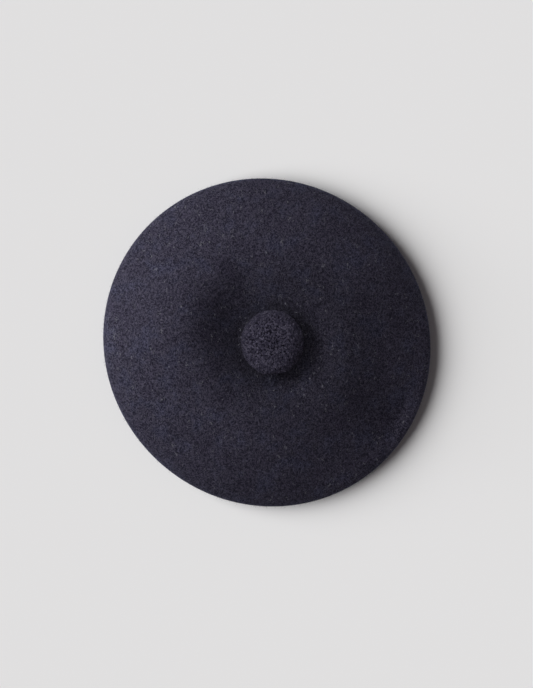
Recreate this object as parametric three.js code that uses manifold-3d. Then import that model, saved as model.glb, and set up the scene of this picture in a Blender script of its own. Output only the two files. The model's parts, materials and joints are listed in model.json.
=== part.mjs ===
// A wool beret with a pompom, lying top up on a table as it is put down.
// Millimetres, +Z up. The origin is on the table, under the middle of the beret. The front faces -Y.
// The shell is one piece of fulled knitting: crown, rim, underside and a hem turned up inside the
// head opening. A ribbon sweatband lines the hem. The pompom is tied with its own cord, and is sewn
// through the crown to a stay button, with a wound thread neck that lets it nod.

import * as THREE from "three";
import { mergeVertices } from "three/addons/utils/BufferGeometryUtils.js";
import Module from "manifold-3d";

const wasm = await Module();
wasm.setup();

// ---- Driving dimensions

const BERET_DIAMETER = 275; // mean, at the rim
const RIM_OVAL = 2.4; // how far the rim stands out of round
const RIM_OVAL_TURN = THREE.MathUtils.degToRad(133); // where it stands out most
const FELT = 2.4; // thickness of the fulled wool
const RIM_HEIGHT = 13; // of the widest line above the table
const RIDGE_STAND = 14.8; // of the ridge round the crown above the sweatband
const RIDGE_RADIUS = 70;
const DIP_HEIGHT = 25; // of the crown's surface under the pompom
const DIP_RADIUS = 20; // of the level floor of the dip
const DRIFT_RADIUS = 26; // of the middle that drifts sideways with the pompom
const FOOT_WIDTH = 18; // of the flat ring that rests on the table
const HEM_HEIGHT = 14; // how far the edge turns up inside the head opening
const HEM_BEND = 2.6; // bend of the felt's middle where it turns up
const SLUMP_FADE = 9; // height above the rim over which the crown starts to slump

// How far the curves of the profile run on before they turn, as shares of their own span.
const DIP_PULL = 0.38;
const RIDGE_PULL = 0.45;
const SHOULDER_PULL = 0.38;
const RIM_PULL = 0.3;
const UNDER_PULL = 0.45;

const HEAD_CIRCUMFERENCE = 570; // inside the sweatband
const RIBBON = 0.8; // thickness of the sweatband
const RIBBON_WIDTH = 20;
const RIBBON_OVERLAP = 14; // where its ends lap
const RIBBON_FOOT = 1.2; // its lower edge above the table

const POMPOM_DIAMETER = 52;
const POMPOM_LENGTH = 54; // from front to back
const POMPOM_HEIGHT = 46;
const POMPOM_X = 4.5; // it sits a little to one side, as the soft crown has slumped
const POMPOM_LIFT = 1.2; // from the crown to its underside
const TIE_RADIUS = 3.4; // of the cord loop at the pompom's heart
const TIE_CORD = 1.6; // diameter of the cord

const NECK_DIAMETER = 4.8; // thread wound round the sewing strands
const NECK_HEIGHT = 2.6;
const NECK_LIFT = 0.5; // room for the neck to lean
const NECK_ROOM = 1; // round the neck in the pompom's mouth
const NECK_TO_TIE = 0.5;

const BUTTON_DIAMETER = 15;
const BUTTON_THICKNESS = 2.2;
const BUTTON_DISH = 0.6; // how far its middle is hollowed
const BUTTON_RIM = 2.2; // width of the ring round the hollow
const BUTTON_EDGE = 0.6; // slope of its edge
const PATCH_DIAMETER = 28;
const PATCH_THICKNESS = 1.2;
const SEWING_SPACING = 3.6; // between the button's holes
const SEWING_THREAD = 0.9;
const SEWING_ROOM = 0.35; // round the thread in its holes

const LABEL_WIDTH = 46;
const LABEL_HEIGHT = 11;
const LABEL_THICKNESS = 0.5;
const LABEL_FOOT = 7; // its lower edge above the table
const CARE_WIDTH = 16;
const CARE_LENGTH = 14;
const CARE_THICKNESS = 1.0; // two layers of folded tape
const CARE_DROP = 2.4; // from the sweatband's upper edge to the label's sewn edge
const SEAM_THREAD = 0.6;
const SEAM_HEIGHT = 4.5; // of the hem seam above the table
const JOIN_LENGTH = 12; // of the row of stitches down the sweatband's join
const JOIN_INSET = 3; // of that row from the end of the ribbon
const STITCH_INSET = 1.5; // of a row of stitches from an upper or side edge
const STITCH_END = 1; // of a row of stitches from the ends of its edge
const LAP_EASE = 3; // how many laps long the ribbon's slope down to its end is

const GAP = 0.3; // left between pieces that touch

// Where things are, going round: the back is at +Y.
const BACK = Math.PI / 2;
const JOIN_TURN = THREE.MathUtils.degToRad(140);
const CARE_TURN = THREE.MathUtils.degToRad(48);

// Soft hollows and swells of the slumped crown: middle, reach and height.
const CROWN_FOLDS = [
  { name: "hollow behind the pompom", x: -32, y: 26, reach: 28, rise: -8 },
  { name: "end of that hollow", x: -16, y: 54, reach: 20, rise: -3.5 },
  { name: "shoulder on the full side", x: -76, y: 12, reach: 34, rise: 4 },
  { name: "slack on the other side", x: 104, y: 4, reach: 36, rise: -5 },
  { name: "trough by the front rim", x: 100, y: -58, reach: 32, rise: -10 },
  { name: "end of that trough", x: 50, y: -92, reach: 30, rise: -4 },
];
const FOLD_START = PATCH_DIAMETER / 2 + 4; // the folds fade in outside the stay patch
const FOLD_FULL = FOLD_START + 12;

const SHELL_SECTORS = 48;

// ---- Sizes that follow

const rimRadius = BERET_DIAMETER / 2;
const headRadius = HEAD_CIRCUMFERENCE / (2 * Math.PI);
const ribbonStack = 2 * RIBBON + GAP; // its two layers at the lap
const hemRadius = headRadius + ribbonStack + GAP + FELT / 2;
const ribbonTop = RIBBON_FOOT + RIBBON_WIDTH;
const ridgeHeight = ribbonTop + RIDGE_STAND;
const footInner = hemRadius + HEM_BEND + FELT;
const pivotHeight = DIP_HEIGHT + NECK_LIFT + NECK_HEIGHT / 2;
const dipUnderside = DIP_HEIGHT - FELT;
const patchTop = dipUnderside - GAP;
const buttonTop = patchTop - PATCH_THICKNESS - GAP;
const buttonFoot = buttonTop - BUTTON_THICKNESS;

// ---- Materials

const felt = new THREE.MeshStandardMaterial({ color: 0x26253a, roughness: 0.95, metalness: 0 });
const yarn = new THREE.MeshStandardMaterial({ color: 0x2b2a40, roughness: 1, metalness: 0 });
const ribbonCloth = new THREE.MeshStandardMaterial({ color: 0x15151c, roughness: 0.7, metalness: 0 });
const thread = new THREE.MeshStandardMaterial({ color: 0x1b1b26, roughness: 0.6, metalness: 0 });
const satin = new THREE.MeshStandardMaterial({ color: 0xe6e2d8, roughness: 0.45, metalness: 0 });
const woven = new THREE.MeshStandardMaterial({ color: 0x20202c, roughness: 0.6, metalness: 0 });
const horn = new THREE.MeshStandardMaterial({ color: 0x1a1718, roughness: 0.35, metalness: 0 });

// ---- Helpers

function piece(name, geometry, material) {
  const mesh = new THREE.Mesh(geometry, material);
  mesh.name = name;
  return mesh;
}

function solidOf(geometry) {
  const bare = geometry.clone();
  bare.deleteAttribute("normal");
  bare.deleteAttribute("uv");
  const merged = mergeVertices(bare, 1e-4);
  return new wasm.Manifold(
    new wasm.Mesh({
      numProp: 3,
      vertProperties: new Float32Array(merged.attributes.position.array),
      triVerts: new Uint32Array(merged.index.array),
    }),
  );
}

function geometryOf(solid) {
  const mesh = solid.getMesh();
  const geometry = new THREE.BufferGeometry();
  geometry.setAttribute("position", new THREE.BufferAttribute(mesh.vertProperties, mesh.numProp));
  geometry.setIndex(new THREE.BufferAttribute(mesh.triVerts, 1));
  geometry.computeVertexNormals();
  return geometry;
}

// An upright cylinder that stands on z = foot.
function post(radius, height, foot, sides = 16) {
  return new THREE.CylinderGeometry(radius, radius, height, sides)
    .rotateX(Math.PI / 2)
    .translate(0, 0, foot + height / 2);
}

// Turns a profile of (radius, height) points about +Z.
function turned(profile, sectors) {
  return new THREE.LatheGeometry(profile, sectors).rotateX(Math.PI / 2);
}

// The unit normal of a line of points at one of them, to its left.
function normalAt(line, i) {
  const before = line[Math.max(i - 1, 0)];
  const after = line[Math.min(i + 1, line.length - 1)];
  const along = after.clone().sub(before).normalize();
  return new THREE.Vector2(-along.y, along.x);
}

// The closed outline of a sheet of even thickness about its middle line.
function sheetOutline(line, thickness) {
  const side = (way) =>
    line.map((p, i) => p.clone().addScaledVector(normalAt(line, i), (way * thickness) / 2));
  return [...side(-1), ...side(1).reverse()];
}

// An arc of a ring between two radii, as tall as height, standing on z = foot.
function ringArc(inner, outer, start, end, foot, height, steps) {
  const shape = new THREE.Shape();
  const at = (r, i) => {
    const turn = start + ((end - start) * i) / steps;
    return new THREE.Vector2(r * Math.cos(turn), r * Math.sin(turn));
  };
  const outline = [];
  for (let i = 0; i <= steps; i++) outline.push(at(outer, i));
  for (let i = steps; i >= 0; i--) outline.push(at(inner, i));
  shape.setFromPoints(outline);
  return new THREE.ExtrudeGeometry(shape, { depth: height, bevelEnabled: false, steps: 1 })
    .translate(0, 0, foot);
}

// ---- The shell

function smooth(low, high, value) {
  return THREE.MathUtils.smoothstep(value, low, high);
}

// How far the slumped crown stands above its plain turned shape.
function slump(x, y) {
  let rise = 0;
  for (const fold of CROWN_FOLDS) {
    const away = Math.hypot(x - fold.x, y - fold.y) / fold.reach;
    rise += fold.rise * Math.exp(-away * away);
  }
  return rise * smooth(FOLD_START, FOLD_FULL, Math.hypot(x - POMPOM_X, y));
}

// The middle of the felt, from the crown's centre over the rim and under to the hem's edge.
function shellLine() {
  const half = FELT / 2;
  const rim = rimRadius - half;
  const ridge = new THREE.Vector2(RIDGE_RADIUS, ridgeHeight - half);
  const dip = new THREE.Vector2(DIP_RADIUS, DIP_HEIGHT - half);
  const wall = ridge.x - dip.x;
  const rimTop = new THREE.Vector2(rim, RIM_HEIGHT);
  const footOuter = footInner + FOOT_WIDTH;
  const dipWall = new THREE.CubicBezierCurve(
    dip,
    new THREE.Vector2(dip.x + wall * DIP_PULL, dip.y),
    new THREE.Vector2(ridge.x - wall * RIDGE_PULL, ridge.y),
    ridge,
  );
  const overTop = new THREE.CubicBezierCurve(
    ridge,
    new THREE.Vector2(ridge.x + (rim - ridge.x) * SHOULDER_PULL, ridge.y),
    new THREE.Vector2(rim, RIM_HEIGHT + (ridge.y - RIM_HEIGHT) * RIM_PULL),
    rimTop,
  );
  const underRim = new THREE.CubicBezierCurve(
    rimTop,
    new THREE.Vector2(rim, RIM_HEIGHT * UNDER_PULL),
    new THREE.Vector2(footOuter + (rim - footOuter) * UNDER_PULL, half),
    new THREE.Vector2(footOuter, half),
  );
  const hemCentre = new THREE.Vector2(hemRadius + HEM_BEND, half + HEM_BEND);
  const hemBend = new THREE.EllipseCurve(
    hemCentre.x, hemCentre.y, HEM_BEND, HEM_BEND, -Math.PI / 2, -Math.PI, true,
  );
  return [
    new THREE.Vector2(0, dip.y),
    new THREE.Vector2(DIP_RADIUS / 2, dip.y),
    ...dipWall.getPoints(6),
    ...overTop.getPoints(8).slice(1),
    ...underRim.getPoints(4).slice(1),
    ...hemBend.getPoints(3),
    new THREE.Vector2(hemRadius, HEM_HEIGHT),
  ];
}

// How far a point of the felt's middle moves as the plain turned shape slumps.
function settle(r, z, turn) {
  const footOuter = footInner + FOOT_WIDTH;
  const onTop = smooth(HEM_HEIGHT, HEM_HEIGHT + FELT, z);
  const drift = POMPOM_X * (1 - smooth(DRIFT_RADIUS, rimRadius, r)) * onTop;
  const oval = RIM_OVAL * Math.cos(2 * (turn - RIM_OVAL_TURN)) * smooth(footOuter, rimRadius, r);
  const shift = new THREE.Vector3(drift + oval * Math.cos(turn), oval * Math.sin(turn), 0);
  const x = r * Math.cos(turn) + shift.x;
  const y = r * Math.sin(turn) + shift.y;
  shift.z = slump(x, y) * smooth(RIM_HEIGHT, RIM_HEIGHT + SLUMP_FADE, z);
  return shift;
}

function woolShell() {
  const line = shellLine();
  const outline = sheetOutline(line, FELT);
  outline[0].x = 0;
  outline[outline.length - 1].x = 0;
  const middles = [...line, ...[...line].reverse()];
  const geometry = turned(outline, SHELL_SECTORS);
  const points = geometry.attributes.position;
  const point = new THREE.Vector3();
  for (let i = 0; i < points.count; i++) {
    point.fromBufferAttribute(points, i);
    const middle = middles[i % outline.length];
    point.add(settle(middle.x, middle.y, Math.atan2(point.y, point.x)));
    points.setXYZ(i, point.x, point.y, point.z);
  }
  let solid = solidOf(geometry);
  for (const hole of sewingHoles(DIP_HEIGHT + 1, dipUnderside - 1)) solid = solid.subtract(hole);
  return piece("wool_shell", geometryOf(solid), felt);
}

// ---- The pompom's anchorage in the crown

const sewingSides = [-SEWING_SPACING / 2, SEWING_SPACING / 2];

// The needle holes between two heights, at the button's spacing.
function sewingHoles(top, foot) {
  const radius = SEWING_THREAD / 2 + SEWING_ROOM;
  const holes = [];
  for (const x of sewingSides) {
    for (const y of sewingSides) {
      holes.push(solidOf(post(radius, top - foot, foot, 8).translate(POMPOM_X + x, y, 0)));
    }
  }
  return holes;
}

function withSewingHoles(geometry, top, foot) {
  let solid = solidOf(geometry);
  for (const hole of sewingHoles(top + 1, foot - 1)) solid = solid.subtract(hole);
  return geometryOf(solid);
}

function stayPatch() {
  const foot = patchTop - PATCH_THICKNESS;
  const disc = post(PATCH_DIAMETER / 2, PATCH_THICKNESS, foot, 32).translate(POMPOM_X, 0, 0);
  return piece("stay_patch", withSewingHoles(disc, patchTop, foot), felt);
}

function stayButton() {
  const edge = BUTTON_DIAMETER / 2;
  const dish = edge - BUTTON_RIM;
  const outline = [
    [0, buttonFoot + BUTTON_DISH],
    [dish - BUTTON_EDGE, buttonFoot + BUTTON_DISH],
    [dish, buttonFoot],
    [edge - BUTTON_EDGE, buttonFoot],
    [edge, buttonFoot + BUTTON_EDGE],
    [edge, buttonTop - BUTTON_EDGE],
    [edge - BUTTON_EDGE, buttonTop],
    [0, buttonTop],
  ].map(([r, z]) => new THREE.Vector2(r, z));
  const disc = turned(outline, 32).translate(POMPOM_X, 0, 0);
  return piece("stay_button", withSewingHoles(disc, buttonTop, buttonFoot), horn);
}

// One staple of sewing thread: up through two holes of the button, with its bar below.
function anchorStitch(name, y) {
  const half = SEWING_SPACING / 2;
  const bar = buttonFoot + BUTTON_DISH - GAP - SEWING_THREAD / 2;
  const corner = SEWING_THREAD;
  const path = new THREE.CurvePath();
  const at = (x, z) => new THREE.Vector3(POMPOM_X + x, y, z);
  path.add(new THREE.LineCurve3(at(-half, DIP_HEIGHT), at(-half, bar + corner)));
  const turn = (side) => [
    at(side * half, bar + corner),
    at(side * half, bar),
    at(side * (half - corner), bar),
  ];
  path.add(new THREE.QuadraticBezierCurve3(...turn(-1)));
  path.add(new THREE.LineCurve3(at(-half + corner, bar), at(half - corner, bar)));
  path.add(new THREE.QuadraticBezierCurve3(...turn(1).reverse()));
  path.add(new THREE.LineCurve3(at(half, bar + corner), at(half, DIP_HEIGHT)));
  const section = new THREE.Shape().absarc(0, 0, SEWING_THREAD / 2, 0, 2 * Math.PI);
  const tube = new THREE.ExtrudeGeometry(section, {
    steps: 40, extrudePath: path, bevelEnabled: false, curveSegments: 4,
  });
  return piece(name, tube, thread);
}

// ---- The pompom, about the point where its neck bends

function threadNeck() {
  const neck = post(NECK_DIAMETER / 2, NECK_HEIGHT, -NECK_HEIGHT / 2, 16);
  return piece("thread_neck", neck, thread);
}

const pompomFoot = DIP_HEIGHT + POMPOM_LIFT - pivotHeight;
const pompomMiddle = pompomFoot + POMPOM_HEIGHT / 2;
const tieFoot = NECK_HEIGHT / 2 + NECK_TO_TIE;

// The cord loop at the heart and its twisted tail, thicker all over by extra.
function tieShape(extra) {
  const radius = TIE_CORD / 2 + extra;
  const loop = new THREE.TorusGeometry(TIE_RADIUS, radius, 8, 16)
    .rotateX(Math.PI / 2)
    .translate(0, 0, pompomMiddle);
  const tailTop = pompomMiddle - TIE_RADIUS;
  const tail = post(radius, tailTop - tieFoot + extra, tieFoot - extra, 8);
  return solidOf(loop).add(solidOf(tail));
}

function pompomTie() {
  return piece("pompom_tie", geometryOf(tieShape(0)), thread);
}

function pompom() {
  const ball = new THREE.SphereGeometry(POMPOM_DIAMETER / 2, 32, 20)
    .rotateX(Math.PI / 2)
    .scale(1, POMPOM_LENGTH / POMPOM_DIAMETER, POMPOM_HEIGHT / POMPOM_DIAMETER)
    .translate(0, 0, pompomMiddle);
  const mouthTop = tieFoot + NECK_TO_TIE;
  const mouth = post(NECK_DIAMETER / 2 + NECK_ROOM, mouthTop - pompomFoot + 1, pompomFoot - 1, 16);
  const solid = solidOf(ball).subtract(tieShape(GAP)).subtract(solidOf(mouth));
  return piece("pompom", geometryOf(solid), yarn);
}

// ---- The sweatband and its labels

// One strip of ribbon that laps itself: the outer end is tucked behind the inner one.
function sweatband() {
  const steps = 60;
  const lap = RIBBON_OVERLAP / headRadius;
  const total = 2 * Math.PI + lap;
  const ease = LAP_EASE * lap;
  const radius = (turn) => headRadius + (RIBBON + GAP) * smooth(total - lap - ease, total - lap, turn);
  const outline = [];
  const add = (extra, turn) => {
    const r = radius(turn) + extra;
    outline.push(new THREE.Vector2(r * Math.cos(JOIN_TURN + turn), r * Math.sin(JOIN_TURN + turn)));
  };
  for (let i = 0; i <= steps; i++) add(RIBBON, (total * i) / steps);
  for (let i = steps; i >= 0; i--) add(0, (total * i) / steps);
  const geometry = new THREE.ExtrudeGeometry(new THREE.Shape(outline), {
    depth: RIBBON_WIDTH, bevelEnabled: false, steps: 1,
  });
  return piece("sweatband", geometry.translate(0, 0, RIBBON_FOOT), ribbonCloth);
}

const seamRadius = headRadius - GAP - SEAM_THREAD / 2;

// A row of stitches that shows on the head side, as one thread.
function hemSeam() {
  const ring = new THREE.TorusGeometry(seamRadius, SEAM_THREAD / 2, 6, 60);
  return piece("hem_seam", ring.translate(0, 0, SEAM_HEIGHT), thread);
}

// An upright row of stitches at a turn and a radius.
function uprightStitch(name, turn, radius, foot, height) {
  const bar = post(SEAM_THREAD / 2, height, foot, 6)
    .translate(radius * Math.cos(turn), radius * Math.sin(turn), 0);
  return piece(name, bar, thread);
}

const labelOuter = headRadius - GAP;
const labelInner = labelOuter - LABEL_THICKNESS;
const labelHalfTurn = LABEL_WIDTH / labelOuter / 2;

function backLabel() {
  const start = BACK - labelHalfTurn;
  const end = BACK + labelHalfTurn;
  const plate = ringArc(labelInner, labelOuter, start, end, LABEL_FOOT, LABEL_HEIGHT, 10);
  return piece("back_label", plate, woven);
}

function backLabelStitch(name, way) {
  const inset = STITCH_INSET / labelInner;
  const turn = BACK + way * (labelHalfTurn - inset);
  const radius = labelInner - GAP - SEAM_THREAD / 2;
  return uprightStitch(name, turn, radius, LABEL_FOOT + STITCH_END, LABEL_HEIGHT - 2 * STITCH_END);
}

// The sewn edge of the care label, which it swings about.
const careHinge = ribbonTop - CARE_DROP;
const bandBow = headRadius * (1 - Math.cos(CARE_WIDTH / headRadius / 2)); // the curve's depth there
const careRadius = headRadius - bandBow - GAP - CARE_THICKNESS / 2;

// A folded tape, about the middle of its sewn edge, with +X away from the head.
function careLabel() {
  const tape = new THREE.BoxGeometry(CARE_THICKNESS, CARE_WIDTH, CARE_LENGTH)
    .translate(0, 0, -CARE_LENGTH / 2);
  return piece("care_label", tape, satin);
}

function careLabelStitch() {
  const above = (CARE_THICKNESS + SEAM_THREAD) / 2 + 2 * GAP;
  const bar = new THREE.CylinderGeometry(SEAM_THREAD / 2, SEAM_THREAD / 2, CARE_WIDTH - 2 * STITCH_END, 6);
  return piece("care_label_stitch", bar.translate(0, 0, above), thread);
}

// ---- Assembly

const beret = new THREE.Group();
beret.add(woolShell(), stayPatch(), stayButton());
beret.add(anchorStitch("anchor_stitch_front", sewingSides[0]));
beret.add(anchorStitch("anchor_stitch_back", sewingSides[1]));

const nodding = new THREE.Group();
nodding.position.set(POMPOM_X, 0, pivotHeight);
nodding.add(threadNeck(), pompomTie(), pompom());
beret.add(nodding);

beret.add(sweatband(), hemSeam());
const joinFoot = ribbonTop - STITCH_INSET - JOIN_LENGTH;
const joinTurn = JOIN_TURN + JOIN_INSET / headRadius;
beret.add(uprightStitch("band_join_stitch", joinTurn, seamRadius, joinFoot, JOIN_LENGTH));
beret.add(backLabel());
beret.add(backLabelStitch("back_label_stitch_left", 1));
beret.add(backLabelStitch("back_label_stitch_right", -1));

const care = new THREE.Group();
care.position.set(careRadius * Math.cos(CARE_TURN), careRadius * Math.sin(CARE_TURN), careHinge);
care.rotation.z = CARE_TURN;
care.add(careLabel(), careLabelStitch());
beret.add(care);

export default beret;
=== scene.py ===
"""A navy wool beret with a clipped pompom, lying crown up on pale paper, with its sweatband,
labels and the pompom's anchorage underneath. Metres, +Z up, the back of the beret towards +Y."""

import json
import math
import random

import bpy
import numpy as np
from mathutils import Matrix, Vector, noise


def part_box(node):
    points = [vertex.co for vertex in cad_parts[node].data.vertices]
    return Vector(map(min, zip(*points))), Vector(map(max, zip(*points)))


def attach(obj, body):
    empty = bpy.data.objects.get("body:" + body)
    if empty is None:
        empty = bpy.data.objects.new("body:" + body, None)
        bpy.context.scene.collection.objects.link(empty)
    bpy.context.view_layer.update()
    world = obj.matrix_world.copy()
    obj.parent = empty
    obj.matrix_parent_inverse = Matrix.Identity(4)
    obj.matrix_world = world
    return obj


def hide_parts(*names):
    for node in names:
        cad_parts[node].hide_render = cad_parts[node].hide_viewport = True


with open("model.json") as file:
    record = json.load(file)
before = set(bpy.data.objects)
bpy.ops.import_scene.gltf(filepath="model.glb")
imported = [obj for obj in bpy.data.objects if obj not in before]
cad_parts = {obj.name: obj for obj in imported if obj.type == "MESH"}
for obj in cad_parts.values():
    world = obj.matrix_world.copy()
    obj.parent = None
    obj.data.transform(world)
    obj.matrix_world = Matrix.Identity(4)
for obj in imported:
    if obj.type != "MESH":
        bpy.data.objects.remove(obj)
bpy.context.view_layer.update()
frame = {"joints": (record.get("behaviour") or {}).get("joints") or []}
MM = 0.001

# ---- The shell's sizes, as it was knitted, fulled and blocked

BERET_DIAMETER = 275 * MM
RIM_OVAL = 2.4 * MM  # the rim stands out by this one way and in by it the other way
RIM_OVAL_TURN = math.radians(133)
FELT = 2.4 * MM
RIM_HEIGHT = 13 * MM
RIDGE_HEIGHT = 36 * MM
RIDGE_RADIUS = 70 * MM
DIP_HEIGHT = 25 * MM
DIP_RADIUS = 20 * MM
DRIFT_RADIUS = 26 * MM  # out to here the crown's middle has moved under the pompom
FOOT_WIDTH = 18 * MM
HEM_HEIGHT = 14 * MM
HEM_BEND = 2.6 * MM

# How far each curve of the felt's line keeps its direction, as a share of its span.
DIP_PULL = 0.38
RIDGE_PULL = 0.45
SHOULDER_PULL = 0.38
RIM_PULL = 0.3
UNDER_PULL = 0.45

# Soft hollows and swells of the slumped crown, in millimetres: middle, reach and height.
CROWN_FOLDS = [
    (-32, 26, 28, -8.0),  # the hollow behind the pompom
    (-16, 54, 20, -3.5),  # the end of that hollow
    (-76, 12, 34, 4.0),  # the shoulder on the full side
    (104, 4, 36, -5.0),  # the slack on the other side
    (100, -58, 32, -10.0),  # the trough by the front rim
    (50, -92, 30, -4.0),  # the end of that trough
]
FOLD_START = 18 * MM  # the folds fade in outside the stay patch
FOLD_FULL = 30 * MM
SLUMP_FADE = 9 * MM  # and over this height above the rim
RIPPLE = 0.5 * MM
RIPPLE_LENGTH = 26 * MM
LUMP = 0.16 * MM
LUMP_LENGTH = 7 * MM

# ---- Sizes of what is sewn to it

HEAD_RADIUS = 570 * MM / (2 * math.pi)
GAP = 0.3 * MM
THREAD = 0.6 * MM
RIBBON = 0.8 * MM
RIBBON_LAP = 14 * MM
LAP_EASE = 3  # the tucked end eases outwards over this many laps
RIB_PITCH = 1.15 * MM
RIB_DEPTH = 0.09 * MM
BACK_LABEL = 46 * MM
BACK_LABEL_CLOTH = 0.18 * MM
TURNED_IN = 5 * MM  # at each end of the back label
CARE_WIDTH = 16 * MM
CARE_CLOTH = 0.22 * MM
HEM_STITCHES = 138
HEM_STITCH = 3.2 * MM
ROW_STITCHES = 4
CARE_STITCHES = 7
CARE_STITCH = 2.6 * MM
CARE_SEAM = 13 * MM

POMPOM_X = 4.5 * MM
PILE = 2.4 * MM  # length of the yarn ends that show
YARN_ENDS = 3720
NECK_ROOM = 4.2 * MM  # no yarn end stands this near the neck
TIE_CORD = 1.6 * MM

NAP_FIBRES = 6400
NAP_FIBRE = 2.4 * MM
NAP_LOWEST = 4 * MM
NAP_INNER = 20 * MM
RIM_EXTRA = 5.4  # extra fibres at the rim, as a share of those on the crown

RIM_RADIUS = BERET_DIAMETER / 2
HEM_RADIUS = HEAD_RADIUS + 2 * RIBBON + GAP + GAP + FELT / 2
FOOT_INNER = HEM_RADIUS + HEM_BEND + FELT
FOOT_OUTER = FOOT_INNER + FOOT_WIDTH
SEAM_RADIUS = HEAD_RADIUS - GAP - THREAD / 2

UP = Vector((0, 0, 1))
BACK = math.pi / 2
JOIN_TURN = math.radians(140)
CARE_TURN = math.radians(48)

# ---- Painted shade in the colours of the felt and the pompom

# Painted shade on the felt, in the crown's dip and round the pompom: distances from an upright line
# at which it is darkest and gone again, and how dark.
DIP_SHADE_X = 22 * MM
DIP_SHADE = (42 * MM, 92 * MM, 0.68)
POMPOM_SHADE = (27 * MM, 44 * MM, 0.62)

# Painted shade on the pompom: heights of its darkest side and of its plain top, and how dark.
SIDE_SHADE = (46 * MM, 70 * MM, 0.50)

# ---- The camera and the lights

CAMERA_HEIGHT = 1.9
CAMERA_X = -0.3 * MM
CAMERA_Y = -1.3 * MM
SEEN_HEIGHT = 577 * MM  # what the picture takes in from top to bottom
SEEN_AT = 15 * MM  # at this height above the floor

# A light's place: degrees round from +X, degrees above the floor, metres from the middle.
KEY_PLACE = (158, 58, 0.88)
KEY_POWER = 3.0
KEY_SIZE = 0.34
LOW_PLACE = (160, 24, 0.55)
LOW_POWER = 1.5
LOW_WIDTH = 0.5
LOW_TALL = 0.15
SUN_PLACE = (175, 37, 2)
SUN_POWER = 4.45
SUN_SPREAD = math.radians(60)
AIR_POWER = 0.09
AIR_COLOUR = (1.0, 0.90, 0.93, 1)
AIM = Vector((0, 0, 20 * MM))
PAPER_SIZE = 6
PAPER_DROP = 0.2 * MM  # stray fibres may reach just below the foot


# ---- Helpers for shapes

def smooth(low, high, value):
    share = min(max((value - low) / (high - low), 0), 1)
    return share * share * (3 - 2 * share)


def bezier(start, pull_start, pull_end, end, steps):
    """Points of a cubic curve in the (radius, height) plane."""
    points = []
    for i in range(steps + 1):
        t = i / steps
        weights = ((1 - t) ** 3, 3 * t * (1 - t) ** 2, 3 * t * t * (1 - t), t ** 3)
        points.append(tuple(
            sum(w * p[axis] for w, p in zip(weights, (start, pull_start, pull_end, end)))
            for axis in (0, 1)
        ))
    return points


def on_ring(radius, turn, z):
    return Vector((radius * math.cos(turn), radius * math.sin(turn), z))


def deselect():
    if bpy.context.object and bpy.context.object.mode != "OBJECT":
        bpy.ops.object.mode_set(mode="OBJECT")
    bpy.ops.object.select_all(action="DESELECT")


def pick(piece):
    deselect()
    piece.select_set(True)
    bpy.context.view_layer.objects.active = piece


def name_piece(name):
    piece = bpy.context.object
    piece.name = name
    piece.data.name = name
    return piece


def apply_modifier(piece, kind, **settings):
    modifier = piece.modifiers.new(kind.title(), kind)
    for key, value in settings.items():
        setattr(modifier, key, value)
    pick(piece)
    bpy.ops.object.modifier_apply(modifier=modifier.name)


def face_outwards(piece):
    pick(piece)
    bpy.ops.object.mode_set(mode="EDIT")
    bpy.ops.mesh.select_all(action="SELECT")
    bpy.ops.mesh.normals_make_consistent(inside=False)
    bpy.ops.object.mode_set(mode="OBJECT")


def shade(piece, angle=None):
    pick(piece)
    if angle is None:
        bpy.ops.object.shade_smooth()
    else:
        bpy.ops.object.shade_smooth_by_angle(angle=math.radians(angle))


def settle_in(piece, material, body, slot, *nodes):
    """Gives a finished piece its material and body, and hides the solids that it stands for. The slot
    is not used.
    """
    piece.data.materials.clear()
    piece.data.materials.append(material)
    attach(piece, body)
    if nodes:
        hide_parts(*nodes)


def revolve(name, profile, sectors, close_start=False, close_end=False):
    """Draws a profile of (radius, height) out ring by ring from a circle, as on a wheel."""
    deselect()
    radius, height = profile[0]
    bpy.ops.mesh.primitive_circle_add(
        vertices=sectors, radius=radius, location=(0, 0, height),
        fill_type="TRIFAN" if close_start else "NOTHING")
    piece = name_piece(name)
    bpy.ops.object.transform_apply(location=True)
    bpy.ops.object.mode_set(mode="EDIT")
    bpy.ops.mesh.select_all(action="SELECT")
    if close_start:
        bpy.ops.mesh.region_to_loop()
    for radius_next, height_next in profile[1:]:
        bpy.ops.mesh.extrude_edges_move(
            TRANSFORM_OT_translate={"value": (0, 0, height_next - height)})
        share = radius_next / radius
        bpy.ops.transform.resize(value=(share, share, 1), center_override=(0, 0, 0))
        radius, height = radius_next, height_next
    if close_end:
        bpy.ops.mesh.extrude_edges_move()
        bpy.ops.mesh.merge(type="CENTER")
    face_outwards(piece)
    return piece


def sheet_along(name, points, across, rows, thickness):
    """A strip of cloth along a line of points, as wide as the vector across."""
    deselect()
    columns = len(points) - 1
    bpy.ops.mesh.primitive_grid_add(x_subdivisions=columns, y_subdivisions=rows, size=2)
    piece = name_piece(name)
    for vertex in piece.data.vertices:
        column = round((vertex.co.x + 1) / 2 * columns)
        vertex.co = points[column] + across * (vertex.co.y / 2)
    apply_modifier(piece, "SOLIDIFY", thickness=thickness, offset=0)
    shade(piece, 50)
    return piece


def strands(name, routes, radius, resolution=2):
    """Round strands along routes of points, with closed ends, joined in one piece."""
    deselect()
    curve = bpy.data.curves.new(name, "CURVE")
    curve.dimensions = "3D"
    curve.bevel_depth = radius
    curve.bevel_resolution = resolution
    curve.use_fill_caps = True
    for route in routes:
        spline = curve.splines.new("POLY")
        spline.points.add(len(route) - 1)
        for point, place in zip(spline.points, route):
            point.co = (*place, 1)
    piece = bpy.data.objects.new(name, curve)
    bpy.context.scene.collection.objects.link(piece)
    pick(piece)
    bpy.ops.object.convert(target="MESH")
    piece = bpy.context.object
    face_outwards(piece)
    shade(piece, 50)
    return piece


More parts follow.
